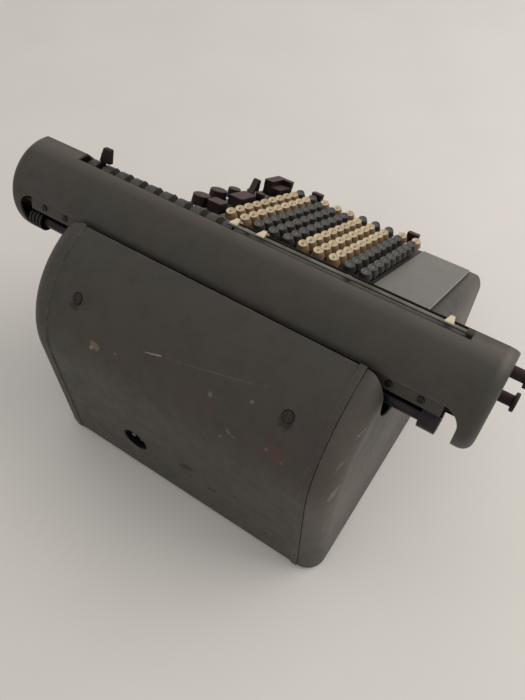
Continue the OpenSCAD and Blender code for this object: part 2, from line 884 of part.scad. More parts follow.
plunger_y = axis_y - 7;
plunger_upper_z = axis_z + 25;
plunger_lower_z = axis_z - 4;

module carriage_housing() color(enamel)
    difference() {
        union() {
            difference() {
                translate([0, axis_y, axis_z]) rotate([0, 90, 0]) rotate_extrude() difference() {
                    housing_outline(drum_r, carriage_left, carriage_right, cap_edge_r);
                    housing_outline(drum_in, carriage_left + end_wall, carriage_right - end_wall,
                        cap_edge_r - sheet);
                }
                along_x(carriage_left - 1, carriage_right + 1) face_cut(0);
                under_cut(skirt_rear_z, axis_y, axis_y + far);
                under_cut(skirt_front_z, axis_y - far, axis_y + eps);
                translate([cover_left, axis_y - far, axis_z - far])
                    cube([cover_right - cover_left, far, 2 * far]);
            }
            end_face(carriage_left, cover_left, -1);
            end_face(carriage_right, cover_right, 1);
        }
        for (z = [plunger_upper_z, plunger_lower_z])
            rod(carriage_left - 1, carriage_left + end_wall + 1, plunger_y, z, plunger_d + run_fit);
        rod(left_collar_x, carriage_right - end_wall, shaft_y, shaft_z, shaft_d + 2 * fit_gap);
    }

module plunger(z) color(maroon) {
    rod(carriage_left - plunger_reach, carriage_left + end_wall + 5, plunger_y, z, plunger_d);
    rod(carriage_left - plunger_reach, carriage_left - plunger_reach + 3, plunger_y, z, plunger_head_d);
    rod(carriage_left + end_wall, carriage_left + end_wall + 3, plunger_y, z, plunger_head_d);
}

module upper_plunger() plunger(plunger_upper_z);
module lower_plunger() plunger(plunger_lower_z);

// Curved flange inside the lower edge of the housing.
module flange_outline()
    translate([axis_y, axis_z]) difference() {
        circle(drum_in);
        circle(drum_in - sheet);
        rotate(flange_low_a - 180) translate([-far / 2, 0]) square([far, far / 2]);
        rotate(flange_high_a) translate([-far / 2, 0]) square([far, far / 2]);
    }

module flange_screws() color(steel)
    for (x = flange_screw_places)
        translate([x, axis_y, axis_z]) rotate([flange_screw_a - 90, 0, 0])
            translate([0, 0, drum_in - seat_depth]) cylinder(d = flange_screw_d, h = 1.5);

module carriage_frame() color(steel)
    difference() {
        union() {
            translate([carriage_left + end_wall, axis_y + deck_front, deck_z])
                cube([carriage_len - 2 * end_wall, deck_rear - deck_front, deck_t]);
            flange_left = carriage_left + left_rim_l + flange_inset;
            flange_right = carriage_right - right_rim_l - flange_inset;
            translate([flange_left, axis_y + deck_rear - 1, deck_z + 0.5])
                cube([flange_right - flange_left, drum_in - sheet / 2 - deck_rear, deck_t - 1]);
            along_x(flange_left, flange_right) flange_outline();
            for (side = [-1, 1]) translate([carriage_x + side * hanger_x - hanger_w / 2, 0, 0]) {
                translate([0, shaft_y - ear_r, shaft_z])
                    cube([hanger_w, ear_r + 0.5, deck_z - shaft_z + eps]);
                rod(0, hanger_w, shaft_y, shaft_z, 2 * ear_r);
                translate([0, front_rail_y - front_ear_r, front_rail_z])
                    cube([hanger_w, 2 * front_ear_r, deck_z - front_rail_z + eps]);
                rod(0, hanger_w, front_rail_y, front_rail_z, 2 * front_ear_r);
            }
            translate([bracket_x, wheel_axis_y - bracket_r, deck_z + 1])
                cube([bracket_t, 2 * bracket_r, wheel_axis_z + bracket_r - deck_z - 1]);
        }
        rod(-far, far, shaft_y, shaft_z, shaft_d + 2 * fit_gap);
        rod(-far, far, front_rail_y, front_rail_z, front_rail_d + run_fit);
        on_register(wheel_u, wheel_back) rod(-far, far, 0, 0, spindle_d + 2 * fit_gap);
        for (x = flange_screw_places)
            translate([x, axis_y, axis_z]) rotate([flange_screw_a - 90, 0, 0])
                translate([0, 0, drum_in - seat_depth]) cylinder(d = flange_screw_d + 2 * fit_gap, h = 3);
    }

bracket_x = wheel_x(wheel_count - 1) - column_pitch / 2 - bracket_t / 2;
wheel_axis_y = axis_y + (face_in - wheel_back) * cos(face_tilt) + wheel_u * sin(face_tilt);
wheel_axis_z = axis_z + (face_in - wheel_back) * sin(face_tilt) - wheel_u * cos(face_tilt);

// Places its children on the axis of a register: up the face by u and behind it by back.
module on_register(u, back) on_face() translate([0, u, -back]) children();

module lower_dials() color(black)
    for (k = [0:dial_count - 1]) on_register(dial_u, dial_back) difference() {
        rod(dial_x(k) - dial_w / 2, dial_x(k) + dial_w / 2, 0, 0, 2 * dial_r);
        rod(-far, far, 0, 0, spindle_d + run_fit);
    }

module upper_wheels() color(slate)
    for (k = [0:wheel_count - 1]) on_register(wheel_u, wheel_back) difference() {
        rod(wheel_x(k) - wheel_w / 2, wheel_x(k) + wheel_w / 2, 0, 0, 2 * wheel_r);
        rod(-far, far, 0, 0, spindle_d + run_fit);
    }

module register_spindles() color(steel) {
    on_register(dial_u, dial_back)
        rod(carriage_left + end_wall, carriage_right - end_wall, 0, 0, spindle_d);
    on_register(wheel_u, wheel_back)
        rod(bracket_x, carriage_right - end_wall, 0, 0, spindle_d);
}

// Frame of the marker rail, upright with zero on its centre line.
module on_marker_rail() translate([0, axis_y + marker_rail_y, axis_z + marker_rail_z]) children();

rail_u = marker_rail_y * sin(face_tilt) - marker_rail_z * cos(face_tilt);

module marker_rail() color(steel) {
    on_marker_rail() {
        rod(cover_left, marker_rail_right, 0, 0, marker_rail_d);
        rod(cover_left, cover_left + stop_l, 0, 0, marker_rail_d + 2.2);
    }
    channel_l = wheel_x(wheel_count - 1) + wheel_cut_left - cover_left - 0.6;
    translate([cover_left + 0.3, axis_y + channel_front, axis_z + channel_z])
        cube([channel_l, channel_rear - channel_front, channel_t]);
    for (x = tab_places)
        on_face() translate([x, rail_u - tab_l, -sheet - tab_t]) cube([tab_w, tab_l, tab_t]);
}

marker_wall = 1.6;
marker_nose = 2.4;
pointer_t = 2;
pointer_gap = 0.4;
pointer_l = 10;
crest_u = drum_r * sin((face_low_a - face_top_a) / 2);

// Slider round the rail that narrows towards the operator, with a pointer that lies over the sloping face.
module decimal_marker(k) color(cream)
    difference() {
        translate([marker_places[k], 0, 0]) {
            intersection() {
                on_marker_rail() along_x(-marker_w / 2, marker_w / 2) {
                    circle(marker_rail_d / 2 + marker_wall);
                    polygon([[1.5, 2.7], [-2.8, 0.6], [-4.6, 0.7], [-6.4, 2]]);
                }
                translate([0, axis_y + marker_rail_y, axis_z]) linear_extrude(far) polygon([
                    [-marker_w / 2, 4],
                    [marker_w / 2, 4],
                    [marker_nose / 2, -8],
                    [-marker_nose / 2, -8]
                ]);
            }
            on_face() translate([0, crest_u + 1.6, pointer_gap]) linear_extrude(pointer_t)
                polygon([
                    [-marker_nose / 2, 0],
                    [marker_nose / 2, 0],
                    [0.5, -pointer_l],
                    [-0.5, -pointer_l]
                ]);
        }
        on_marker_rail() rod(-far, far, 0, 0, marker_rail_d + run_fit);
    }

lever_arm_t = 3;
lever_arm_l = 25;
paddle_w = 12;
paddle_top_w = 8;
paddle_l = 13;
paddle_t = 5;
paddle_side = 9;
lever_lean = 20;
hub_d = spindle_d + 5;

module carriage_lever() color(maroon)
    translate([(wheel_x(0) + wheel_x(1)) / 2, wheel_axis_y, wheel_axis_z])
    rotate([lever_lean, 0, 0]) difference() {
        union() {
            rod(-lever_arm_t / 2, lever_arm_t / 2, 0, 0, hub_d);
            translate([-lever_arm_t / 2, -paddle_t / 2, 0])
                cube([lever_arm_t, paddle_t, lever_arm_l - paddle_l / 2]);
            translate([0, paddle_t / 2, lever_arm_l - paddle_l]) rotate([90, 0, 0]) linear_extrude(paddle_t)
                polygon([
                    [-paddle_side, 0],
                    [paddle_w - paddle_side, 0],
                    [paddle_top_w - paddle_side, paddle_l],
                    [-paddle_side, paddle_l]
                ]);
        }
        rod(-far, far, 0, 0, spindle_d + run_fit);
    }

// Drive

module motor_housing() color(slate)
    difference() {
        union() {
            rod(motor_right - motor_l, motor_right, motor_y, motor_z, motor_d);
            translate([motor_right - motor_l + 10, motor_y - motor_d / 3, base_top])
                cube([motor_l - 20, motor_d * 2 / 3, motor_z - base_top]);
        }
        rod(-far, far, motor_y, motor_z, motor_spindle_d + run_fit);
    }

// Gear outline with straight flanked teeth that leave play on both sides.
module gear_outline(teeth, phase) {
    r = tooth * teeth / 2;
    step = 360 / teeth;
    polygon([
        for (k = [0:teeth - 1]) let (a = phase + k * step) each [
            [(r - tooth) * cos(a - step * 0.32), (r - tooth) * sin(a - step * 0.32)],
            [(r + tooth * 0.6) * cos(a - step * 0.1), (r + tooth * 0.6) * sin(a - step * 0.1)],
            [(r + tooth * 0.6) * cos(a + step * 0.1), (r + tooth * 0.6) * sin(a + step * 0.1)],
            [(r - tooth) * cos(a + step * 0.32), (r - tooth) * sin(a + step * 0.32)]
        ]
    ]);
}

mesh_a = atan2(motor_z - drive_z, motor_y - drive_y);

module motor_spindle() color(steel) {
    rod(motor_right - motor_l - spindle_stub, gear_x + gear_w + 6, motor_y, motor_z, motor_spindle_d);
    along_x(gear_x - 1, gear_x + gear_w + 1) translate([motor_y, motor_z])
        gear_outline(pinion_teeth, mesh_a + 180 + 180 / pinion_teeth);
}

module drive_shaft() color(steel) {
    rod(-frame_out, frame_out, drive_y, drive_z, drive_d);
    along_x(gear_x, gear_x + gear_w) translate([drive_y, drive_z]) gear_outline(wheel_teeth, mesh_a);
    for (i = [0:columns - 1])
        rod(key_x(i) - step_w / 2, key_x(i) + step_w / 2, drive_y, drive_z, 2 * step_r);
}

// Power inlet

module power_inlet() color(black)
    translate([inlet_x, rear_y, inlet_z]) rotate([90, 0, 0]) difference() {
        union() {
            translate([0, 0, 0.2]) cylinder(d = inlet_d - 2 * run_fit, h = recess_depth + 4);
            translate([0, 0, sheet]) cylinder(d = inlet_d + 8, h = flange_w);
        }
        translate([0, 0, -1]) cylinder(d = recess_d, h = recess_depth + 1);
    }

module inlet_pins() color("goldenrod")
    for (side = [-1, 1])
        translate([inlet_x + side * pin_pitch / 2, rear_y - recess_depth, inlet_z])
            rotate([-90, 0, 0]) cylinder(d = pin_d, h = recess_depth - 3);

placed() base_plate();
placed() rubber_feet();
placed() side_frame(-1);  // left_side_frame
placed() side_frame(1);  // right_side_frame
placed() tie_rods();
placed() rear_cover();
placed() rear_cover_screws();
placed() left_side_casing();
placed() right_side_casing();
placed() front_case();
placed() keyboard_plate();
placed() left_panel();
placed() right_panel();
for (i = [1:columns]) placed() key_column(i - 1);
placed() dark_clear_keys();
placed() cream_clear_keys();
placed() round_key_rear();
placed() round_key_front();
placed() small_round_key();
placed() square_op_key();  // square_key
placed() bar_key();
placed() small_square_key();
placed() setting_lever();
placed() add_key();
placed() front_key_right();
placed() front_key_left();
placed() carriage_shaft();
placed() shaft_bushes();
placed() front_rail();
placed() clamp_collar();
placed() ribbed_collar();
placed() carriage_frame();
placed() flange_screws();
placed() carriage_housing();
placed() carriage_face();
placed() lower_dials();
placed() upper_wheels();
placed() register_spindles();
placed() marker_rail();
placed() decimal_marker(0);  // decimal_marker_1
placed() decimal_marker(1);  // decimal_marker_2
placed() decimal_marker(2);  // decimal_marker_3
placed() carriage_lever();
placed() upper_plunger();
placed() lower_plunger();
placed() motor_housing();
placed() motor_spindle();
placed() drive_shaft();
placed() power_inlet();
placed() inlet_pins();
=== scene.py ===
import bpy
import bmesh
import json
import math
from mathutils import Matrix, Vector


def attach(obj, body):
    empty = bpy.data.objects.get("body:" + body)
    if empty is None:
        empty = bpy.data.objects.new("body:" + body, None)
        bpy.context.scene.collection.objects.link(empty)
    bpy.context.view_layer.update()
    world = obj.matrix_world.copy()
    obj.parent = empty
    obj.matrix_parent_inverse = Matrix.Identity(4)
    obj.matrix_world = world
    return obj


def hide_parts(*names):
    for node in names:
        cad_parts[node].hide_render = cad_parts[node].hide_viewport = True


# Old full-keyboard calculating machine seen from behind: worn enamel case, sliding carriage, plastic keys.
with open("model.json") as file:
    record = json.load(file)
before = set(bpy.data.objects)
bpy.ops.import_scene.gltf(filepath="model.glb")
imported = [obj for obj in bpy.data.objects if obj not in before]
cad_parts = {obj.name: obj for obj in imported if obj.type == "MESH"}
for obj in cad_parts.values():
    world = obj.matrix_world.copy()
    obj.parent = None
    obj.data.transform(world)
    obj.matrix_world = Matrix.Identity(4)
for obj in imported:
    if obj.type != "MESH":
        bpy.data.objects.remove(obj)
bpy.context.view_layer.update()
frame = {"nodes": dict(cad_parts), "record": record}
nodes = frame["nodes"]
record = frame["record"]
scene = bpy.context.scene
bodyOf = {node: body for body, members in record["behaviour"]["bodies"].items() for node in members}
mm = 0.001
caseShift = Vector((1.5, -0.5, 0))  # from the middle of the case to the origin of the frame, mm
toFrame = Matrix.Scale(mm, 4) @ Matrix.Translation(caseShift)
print("frame loaded:", len(nodes), "nodes")


# Finishes

def toLinear(hexText):
    parts = [int(hexText[k:k + 2], 16) / 255 for k in (1, 3, 5)]
    return [c / 12.92 if c <= 0.04045 else ((c + 0.055) / 1.055) ** 2.4 for c in parts] + [1.0]


def perMm(size):
    return 1000 / size  # texture scale of a pattern with features of this many millimetres


def addNode(tree, kind, links=None, values=None, out=0, **settings):
    node = tree.nodes.new("ShaderNode" + kind)
    for name, value in settings.items():
        setattr(node, name, value)
    for socket, value in (values or {}).items():
        node.inputs[socket].default_value = value
    for socket, source in (links or {}).items():
        tree.links.new(source, node.inputs[socket])
    return node.outputs[out]


def startMaterial(name, metallic=0.0, ior=1.5):
    material = bpy.data.materials.new(name)
    material.use_nodes = True
    tree = material.node_tree
    shader = tree.nodes["Principled BSDF"]
    shader.inputs["Metallic"].default_value = metallic
    shader.inputs["IOR"].default_value = ior
    place = addNode(tree, "TexCoord", out="Object")
    return material, tree, shader, place


# 0 to 1 along the edges that hands and cloths have rubbed, broken up so that it never runs as a line
def rubbedEdges(tree, place, width, low=0.40, high=0.66, most=1.0):
    rounded = addNode(tree, "Bevel", values={"Radius": width * mm}, samples=4)
    plain = addNode(tree, "NewGeometry", out="Normal")
    turn = addNode(tree, "VectorMath", {0: rounded, 1: plain}, out="Value", operation="DOT_PRODUCT")
    edge = addNode(tree, "MapRange", {"Value": turn}, {"From Min": 0.985, "From Max": 0.88, "To Max": most})
    patches = addNode(tree, "TexNoise", {"Vector": place}, {"Scale": perMm(11), "Detail": 4})
    broken = addNode(tree, "MapRange", {"Value": patches}, {"From Min": low, "From Max": high})
    return addNode(tree, "Math", {0: edge, 1: broken}, operation="MULTIPLY")


# sizes in mm; a mark ends where its distance plus the crumble falls through markEdge
caseEnamel = {
    "olive": "#393731", "brown": "#3d3632", "dark": "#2f2b26", "speck": "#55392d", "rubbed": "#6a645c",
    "handledAndHighlight": "#6b625b", "roughness": 0.5, "gloss": 0.42, "cloud": 85, "mottle": 14, "pebble": 1.6,
    "dents": 48, "crowd": 60, "speckSize": 4.2, "wander": 5, "crumbs": 3.2, "crumble": 1.7,
    "markEdge": (1.62, 1.38), "markDepth": 60, "edgeWidth": 1.6,
}


# Stoved enamel on sheet steel: satin and faintly pebbled, olive grey that has browned in clouds,
# freckled with brown where rust has come through, paler where it is rubbed and where a highlight is painted.
# A mark is (x, y, z, turn, half length, half height, colour, strength), places in mm on the part.
# A worn place is (axes, place in mm, reach, strength): hands have polished it paler, fading over its reach.
def makeEnamel(name, marks, freckles, worn=()):
    look = caseEnamel
    material, tree, shader, place = startMaterial(name)
    shader.inputs["Specular IOR Level"].default_value = look["gloss"]
    cloud = addNode(tree, "TexNoise", {"Vector": place}, {"Scale": perMm(look["cloud"]), "Detail": 3})
    browned = addNode(tree, "MapRange", {"Value": cloud}, {"From Min": 0.38, "From Max": 0.64})
    colour = addNode(tree, "MixRGB", {"Fac": browned},
                     {"Color1": toLinear(look["olive"]), "Color2": toLinear(look["brown"])})
    mottle = addNode(tree, "TexNoise", {"Vector": place},
                     {"Scale": perMm(look["mottle"]), "Detail": 5, "Roughness": 0.6})
    dull = addNode(tree, "MapRange", {"Value": mottle},
                   {"From Min": 0.46, "From Max": 0.72, "To Max": 0.45})
    colour = addNode(tree, "MixRGB", {"Fac": dull, "Color1": colour}, {"Color2": toLinear(look["dark"])})

    # freckles crowd where the coarse noise is high and, on the rear cover, round the places given
    crowd = addNode(tree, "TexNoise", {"Vector": place}, {"Scale": perMm(look["crowd"]), "Detail": 2})
    crowd = addNode(tree, "MapRange", {"Value": crowd},
                    {"From Min": 0.48, "From Max": 0.72, "To Min": 0.02, "To Max": 0.30})
    for x, y, z, reach in freckles:
        away = addNode(tree, "VectorMath", {0: place}, {1: (x * mm, y * mm, z * mm)}, out="Value",
                       operation="DISTANCE")
        near = addNode(tree, "MapRange", {"Value": away},
                       {"From Min": reach * mm, "From Max": 0.2 * reach * mm, "To Max": 0.30})
        crowd = addNode(tree, "Math", {0: crowd, 1: near}, operation="ADD")
    wander = addNode(tree, "TexNoise", {"Vector": place}, {"Scale": perMm(look["wander"])}, out="Color")
    bent = addNode(tree, "VectorMath", {0: wander, 2: place}, {1: [look["wander"] * mm] * 3},
                   operation="MULTIPLY_ADD")
    dots = addNode(tree, "TexVoronoi", {"Vector": bent}, {"Scale": perMm(look["speckSize"])})
    freckled = addNode(tree, "Math", {0: crowd, 1: dots}, operation="SUBTRACT")
    freckled = addNode(tree, "MapRange", {"Value": freckled},
                       {"From Min": 0.0, "From Max": 0.16, "To Max": 0.6})
    colour = addNode(tree, "MixRGB", {"Fac": freckled, "Color1": colour}, {"Color2": toLinear(look["speck"])})

    rubbed = rubbedEdges(tree, place, look["edgeWidth"], most=0.6)
    colour = addNode(tree, "MixRGB", {"Fac": rubbed, "Color1": colour}, {"Color2": toLinear(look["rubbed"])})
    patchy = addNode(tree, "MapRange", {"Value": mottle}, {"From Min": 0.3, "From Max": 0.6, "To Min": 0.5})
    # worn places: a paler tone mixed in as a painted highlight, on the sides partly rubbed wear
    for axes, spot, reach, strength in worn:
        across = addNode(tree, "VectorMath", {0: place}, {1: axes}, operation="MULTIPLY")
        away = addNode(tree, "VectorMath", {0: across}, {1: [c * mm for c in spot]}, out="Value",
                       operation="DISTANCE")
        polishAndHighlight = addNode(tree, "MapRange", {"Value": away},
                           {"From Min": reach * mm, "From Max": 0, "To Max": strength})
        polishAndHighlight = addNode(tree, "Math", {0: polishAndHighlight, 1: patchy}, operation="MULTIPLY")
        colour = addNode(tree, "MixRGB", {"Fac": polishAndHighlight, "Color1": colour},
                         {"Color2": toLinear(look["handledAndHighlight"])})
    crumble = addNode(tree, "TexNoise", {"Vector": place},
                      {"Scale": perMm(look["crumbs"]), "Detail": 4, "Roughness": 0.65})
    chipped = freckled
    for x, y, z, turn, halfLength, halfHeight, tone, strength in marks:
        local = addNode(tree, "Mapping", {"Vector": place}, {
            "Location": (x * mm, y * mm, z * mm), "Rotation": (0, math.radians(turn), 0),
            "Scale": (halfLength * mm, look["markDepth"] * mm, halfHeight * mm)}, vector_type="TEXTURE")
        reach = addNode(tree, "VectorMath", {0: local}, out="Value", operation="LENGTH")
        ragged = addNode(tree, "Math", {0: crumble, 2: reach}, {1: look["crumble"]}, operation="MULTIPLY_ADD")
        outer, inner = look["markEdge"]
        inside = addNode(tree, "MapRange", {"Value": ragged},
                         {"From Min": outer, "From Max": inner, "To Max": strength})
        colour = addNode(tree, "MixRGB", {"Fac": inside, "Color1": colour}, {"Color2": toLinear(tone)})
        chipped = addNode(tree, "Math", {0: chipped, 1: inside}, operation="MAXIMUM")
    tree.links.new(colour, shader.inputs["Base Color"])

    sheen = addNode(tree, "MapRange", {"Value": mottle},
                    {"To Min": look["roughness"] - 0.12, "To Max": look["roughness"] + 0.16})
    sheen = addNode(tree, "Math", {0: chipped, 2: sheen}, {1: 0.3}, operation="MULTIPLY_ADD")
    tree.links.new(sheen, shader.inputs["Roughness"])
    pebble = addNode(tree, "TexNoise", {"Vector": place}, {"Scale": perMm(look["pebble"]), "Detail": 2})
    dents = addNode(tree, "TexNoise", {"Vector": place}, {"Scale": perMm(look["dents"]), "Detail": 1})
    height = addNode(tree, "Math", {0: dents, 2: pebble}, {1: 6.0}, operation="MULTIPLY_ADD")
    height = addNode(tree, "Math", {0: chipped, 2: height}, {1: -2.0}, operation="MULTIPLY_ADD")
    bump = addNode(tree, "Bump", {"Height": height}, {"Strength": 0.22, "Distance": 0.15 * mm})
    tree.links.new(bump, shader.inputs["Normal"])
    return material


# Knocks and scratches of the rear cover and of the corner beside it.
rearMarks = [
    (74, 166.9, 168, -18, 7.5, 4.2, "#7d6852", 0.65),
    (78, 167.5, 165, 30, 3.2, 2.0, "#927f6b", 0.7),
    (53.3, 165.4, 171, 0, 1.8, 1.4, "#7f6853", 0.7),
    (17.7, 156, 186, 12, 12, 0.8, "#8f897f", 0.8),
    (-33, 149, 194, 9, 62, 0.55, "#58534b", 0.55),
    (-37, 159.7, 180.8, -25, 3.0, 2.4, "#74654f", 0.7),
    (-69.7, 152.5, 190.3, 10, 2.4, 1.6, "#776350", 0.7),
    (-59.3, 169.4, 162, -35, 3.4, 1.8, "#746860", 0.75),
    (-53.3, 172, 154.1, 40, 2.6, 1.6, "#665d56", 0.7),
    (-64, 170, 160, 0, 2.0, 1.4, "#765b4b", 0.6),
    (-99.7, 167.8, 165.9, -15, 9, 6, "#4f3a35", 0.6),
    (-92, 167, 166, 20, 2.2, 1.6, "#6f5e52", 0.75),
    (-106, 169, 162, 0, 2.0, 2.0, "#6e5748", 0.7),
    (-14, 175.5, 65, 28, 14, 6.5, "#25221f", 0.7),
    (-66.2, 175.5, 67.6, 0, 2.0, 2.0, "#1a1715", 0.9),
    (-97.1, 175.5, 30.3, 0, 2.2, 2.2, "#1a1715", 0.9),
    (-40.6, 175.5, 50.8, 15, 8, 2.2, "#292521", 0.7),
    (26.4, 175.5, 40.3, 0, 2.2, 2.6, "#22201d", 0.8),
    (97, 175.5, 34.4, 60, 5, 1.0, "#22201d", 0.7),
    (101.5, 149, 190, 0, 8.0, 7.5, "#29241f", 0.85),
    (-98.5, 149, 190, 0, 8.0, 7.5, "#29241f", 0.85),
]
rearFreckles = [(-76, 164, 173, 62), (-100, 168, 160, 40), (18, 165, 172, 55), (-22, 150, 196, 60)]
rearEnamel = makeEnamel("stovedEnamelRear", rearMarks, rearFreckles)
sideMarks = [
    (-149, 168, 196, 60, 7, 2.0, "#7b766e", 0.7),
    (-145, 172, 178, 75, 9, 1.2, "#706b64", 0.6),
    (-148, 174, 120, 80, 12, 0.9, "#625d56", 0.5),
    (-147, 170, 150, 80, 10, 1.8, "#7d776f", 0.7),
    (-147, 174, 95, 85, 16, 1.4, "#6f6a63", 0.6),
    (-148, 173, 62, 80, 14, 2.0, "#6b665f", 0.6),
]
roundAbout, allAlong = (1, 1, 1), (0, 1, 1)
# Paler places on the side casings: the one at the rounded upper rear corner is a painted highlight, the
# middle one is partly rubbed wear and partly painted light on the side, the others are rubbed wear.
sideWearAndHighlight = [
    (roundAbout, (-150, 150, 118), 75, 0.6),
    (roundAbout, (-150, 120, 65), 65, 0.35),
    (roundAbout, (-150, 60, 100), 70, 0.35),
    (roundAbout, (-148, 150, 195), 45, 0.4),
]
sideEnamel = makeEnamel("stovedEnamelSides", sideMarks, [(-142, 170, 150, 70)], sideWearAndHighlight)
# The pale place on the front case shoulder at the -X side is a painted highlight, a reflection of the bright
# room.
frontEnamel = makeEnamel("stovedEnamelFront", [], [], [(roundAbout, (-150, -140, 45), 90, 0.8)])
plainEnamel = makeEnamel("stovedEnamel", [], [])
# A pale band along the whole crest of the carriage housing: a painted highlight of its rounded edge.
carriageCrestHighlight = [(allAlong, (0, 55.5, 241.5), 15, 0.6)]
carriageEnamel = makeEnamel("stovedEnamelCarriage", [], [], carriageCrestHighlight)
print("enamel ready")

panelLook = {"grey": "#6f6c68", "shade": "#625f5b", "bright": "#c9c7c2", "mottle": 26, "roughness": 0.38}


# Smooth grey enamel on flat plates: semi-matt, faint clouding, bright metal at the cut edges.
def makePanel():
    look = panelLook
    material, tree, shader, place = startMaterial("greyPanelEnamel")
    cloud = addNode(tree, "TexNoise", {"Vector": place}, {"Scale": perMm(look["mottle"]), "Detail": 4})
    colour = addNode(tree, "MixRGB", {"Fac": cloud},
                     {"Color1": toLinear(look["grey"]), "Color2": toLinear(look["shade"])})
    bare = rubbedEdges(tree, place, 0.9, 0.25, 0.45)
    colour = addNode(tree, "MixRGB", {"Fac": bare, "Color1": colour}, {"Color2": toLinear(look["bright"])})
    tree.links.new(colour, shader.inputs["Base Color"])
    dust = addNode(tree, "TexNoise", {"Vector": place}, {"Scale": perMm(4), "Detail": 5})
    rough = addNode(tree, "MapRange", {"Value": dust},
                    {"To Min": look["roughness"] - 0.08, "To Max": look["roughness"] + 0.16})
    tree.links.new(rough, shader.inputs["Roughness"])
    bump = addNode(tree, "Bump", {"Height": dust}, {"Strength": 0.08, "Distance": 0.1 * mm})
    tree.links.new(bump, shader.inputs["Normal"])
    return material


greyPanel = makePanel()

keyPlane = {"slope": 26.6, "rearY": -18.0, "topZ": 180.0}  # plane of the number key tops
slopeAngle = math.radians(keyPlane["slope"])
slopeOrigin = Matrix.Translation((0, keyPlane["rearY"], keyPlane["topZ"]))
slopeFrame = slopeOrigin @ Matrix.Rotation(slopeAngle, 4, "X")


# Moulded key plastic: evenly coloured and smooth, in the plain tone on the faces that lie up,
# darkened down the sides towards the second tone as painted shade mixed with grime in clouds, polished on the
# rim.
def makePlastic(name, tone, shadeAndGrimeTone, rubbed, roughness, gloss=0.5):
    material, tree, shader, place = startMaterial(name, ior=1.49)
    shader.inputs["Specular IOR Level"].default_value = gloss
    cloud = addNode(tree, "TexNoise", {"Vector": place}, {"Scale": perMm(17), "Detail": 4})
    dirt = addNode(tree, "TexNoise", {"Vector": place}, {"Scale": perMm(3.5), "Detail": 5})
    plain = addNode(tree, "NewGeometry", out="Normal")
    lying = addNode(tree, "SeparateXYZ", {"Vector": plain}, out="Z")
    # painted shade: faces that stand upright are darkened, as the sides of the keys lie in shade
    paintedSideShade = addNode(tree, "MapRange", {"Value": lying}, {"From Min": 0.82, "From Max": 0.35})
    uneven = addNode(tree, "MapRange", {"Value": cloud}, {"From Min": 0.4, "From Max": 0.7, "To Max": 0.3})
    sideShadeAndGrime = addNode(tree, "Math", {0: paintedSideShade, 1: uneven}, operation="ADD", use_clamp=True)
    colour = addNode(tree, "MixRGB", {"Fac": sideShadeAndGrime},
                     {"Color1": toLinear(tone), "Color2": toLinear(shadeAndGrimeTone)})
    shiny = rubbedEdges(tree, place, 0.6, 0.3, 0.6)
    colour = addNode(tree, "MixRGB", {"Fac": shiny, "Color1": colour}, {"Color2": toLinear(rubbed)})
    tree.links.new(colour, shader.inputs["Base Color"])
    rough = addNode(tree, "MapRange", {"Value": dirt},
                    {"To Min": roughness - 0.1, "To Max": roughness + 0.2})
    tree.links.new(rough, shader.inputs["Roughness"])
    bump = addNode(tree, "Bump", {"Height": dirt}, {"Strength": 0.1, "Distance": 0.08 * mm})
    tree.links.new(bump, shader.inputs["Normal"])
    return material


# the second tone of each plastic is the painted shade of the key sides, mixed with grime
creamPlastic = makePlastic("agedCreamPlastic", "#cdbb9c", "#8c7256", "#d8cbb0", 0.42)
markerPlastic = makePlastic("paleCreamPlastic", "#d3c8ad", "#a99876", "#ded5bf", 0.42)
slatePlastic = makePlastic("slateGreyPlastic", "#4d4c49", "#33322f", "#5a5955", 0.46)
maroonPlastic = makePlastic("maroonPlastic", "#4a3a3b", "#150709", "#4e3d3d", 0.46, 0.22)
darkMaroon = makePlastic("darkMaroonPlastic", "#2f1819", "#1d0d0e", "#463130", 0.5, 0.3)
wheelGrey = makePlastic("registerWheelGrey", "#403e39", "#34322e", "#4c4a44", 0.5)


# Plain and blackened steel: drawn along its length, greasy and dull in patches, bare at the corners.
def makeSteel(name, tone, stain, bare, roughness, grain):
    material, tree, shader, place = startMaterial(name, metallic=0.9)
    along = addNode(tree, "Mapping", {"Vector": place}, {"Scale": (0.06, 1.0, 1.0)})
    drawn = addNode(tree, "TexNoise", {"Vector": along}, {"Scale": perMm(grain), "Detail": 3})
    cloud = addNode(tree, "TexNoise", {"Vector": place}, {"Scale": perMm(22), "Detail": 5})
    dull = addNode(tree, "MapRange", {"Value": cloud}, {"From Min": 0.42, "From Max": 0.7, "To Max": 0.8})
    colour = addNode(tree, "MixRGB", {"Fac": dull}, {"Color1": toLinear(tone), "Color2": toLinear(stain)})
    edges = rubbedEdges(tree, place, 0.7, 0.3, 0.55)
    colour = addNode(tree, "MixRGB", {"Fac": edges, "Color1": colour}, {"Color2": toLinear(bare)})
    tree.links.new(colour, shader.inputs["Base Color"])
    rough = addNode(tree, "MapRange", {"Value": drawn},
                    {"To Min": roughness - 0.1, "To Max": roughness + 0.15})
    tree.links.new(rough, shader.inputs["Roughness"])
    bump = addNode(tree, "Bump", {"Height": drawn}, {"Strength": 0.12, "Distance": 0.05 * mm})
    tree.links.new(bump, shader.inputs["Normal"])
    return material


plainSteel = makeSteel("machinedSteel", "#83817c", "#554e45", "#b0aea9", 0.4, 1.2)
blackSteel = makeSteel("blackenedSteel", "#343034", "#231f20", "#6b6869", 0.34, 1.2)
frameSteel = makeSteel("dullPlatedSteel", "#55524b", "#3b362f", "#8a877f", 0.5, 2.0)
brassMetal = makeSteel("yellowBrass", "#a98746", "#6f552c", "#d0b372", 0.32, 1.0)


